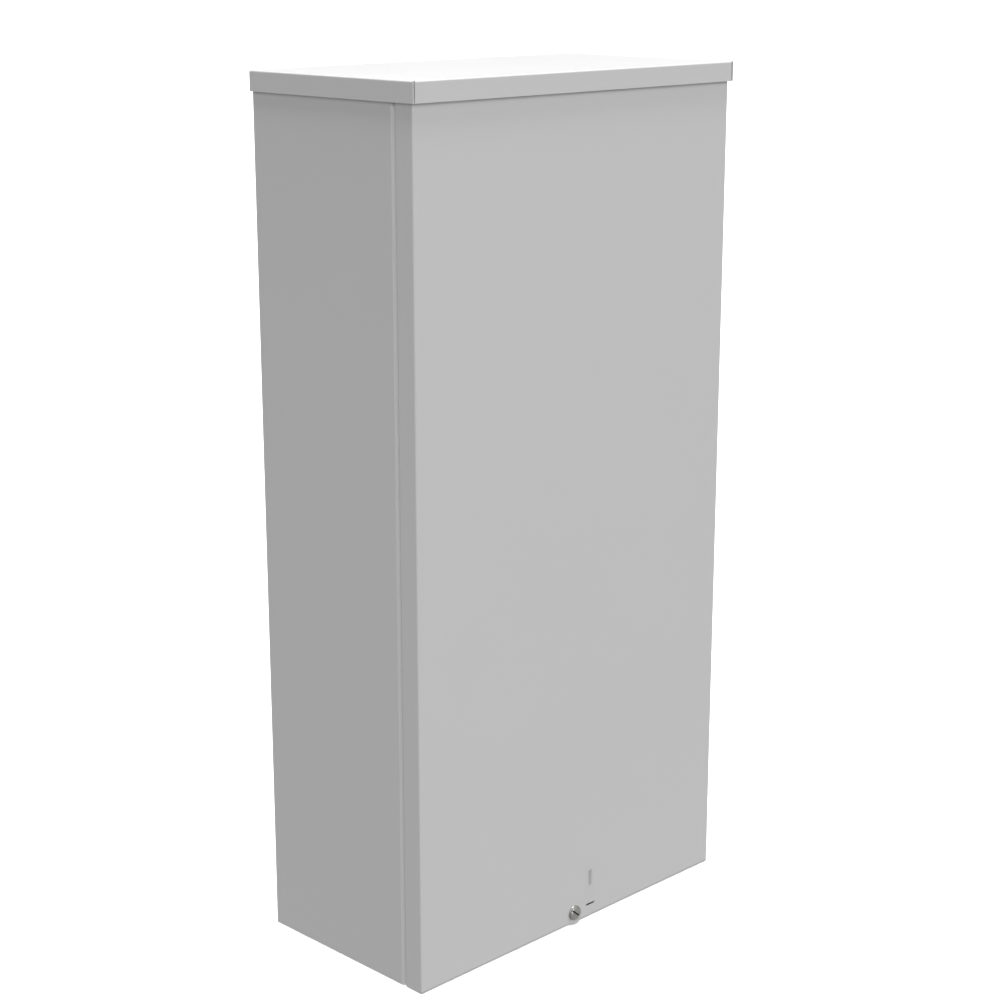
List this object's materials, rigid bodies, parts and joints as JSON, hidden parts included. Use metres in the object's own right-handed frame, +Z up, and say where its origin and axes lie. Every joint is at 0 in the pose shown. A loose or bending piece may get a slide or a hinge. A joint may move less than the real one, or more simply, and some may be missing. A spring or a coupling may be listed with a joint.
{
  "type": "roadside utility cabinet",
  "caption": "Tall rectangular folded-steel outdoor cabinet with a drip roof and a slip-on front cover held by a captive screw at the bottom.",
  "frame": {"origin": "middle of the bounding box's base, on the surface that the cabinet stands on", "axes": "+X right seen from the front, +Y towards the back wall, +Z up"},
  "size_m": [0.6176, 0.3176, 1.2287],
  "materials": {
    "grey_powder_coat": "light grey powder coat, fine texture, satin",
    "panel_white": "white baked enamel, satin",
    "zinc_plate": "bright zinc plate",
    "aluminium_lug": "tinned extrusion, sawn ends"
  },
  "bodies": {
    "cabinet": {"body_wrapper": "grey_powder_coat", "bottom_pan": "grey_powder_coat", "header_rail": "grey_powder_coat", "roof_cap": "grey_powder_coat", "mounting_panel": "panel_white", "panel_studs": "zinc_plate", "panel_spacers": "zinc_plate", "panel_lock_washers": "zinc_plate", "panel_nuts": "zinc_plate", "earth_stud": "zinc_plate", "earth_lug": "aluminium_lug", "earth_lug_screw": "zinc_plate", "earth_nut": "zinc_plate", "weld_nut": "zinc_plate"},
    "front_cover": {"cover": "grey_powder_coat", "cover_stiffener": "grey_powder_coat", "screw_keeper": "zinc_plate"},
    "washer": {"cup_washer": "zinc_plate"},
    "screw": {"cover_screw": "zinc_plate"}
  },
  "joints": [
    {"name": "cover_tilt", "type": "hinge", "parent": "cabinet", "child": "front_cover", "pos_m": [0, -0.1534, 1.2214], "axis": [-1, 0, 0], "range_deg": [0, 8]},
    {"name": "screw_travel", "type": "slide", "parent": "front_cover", "child": "washer", "axis": [0, -1, 0], "range_m": [0, 0.0078]},
    {"name": "screw_turn", "type": "hinge", "parent": "washer", "child": "screw", "pos_m": [0, -0.1534, 0.0165], "axis": [0, -1, 0], "range_deg": [0, 1985]}
  ],
  "couplings": [
    {"joint": "screw_travel", "follows": "screw_turn", "m_per_rad": 0.00022457}
  ]
}
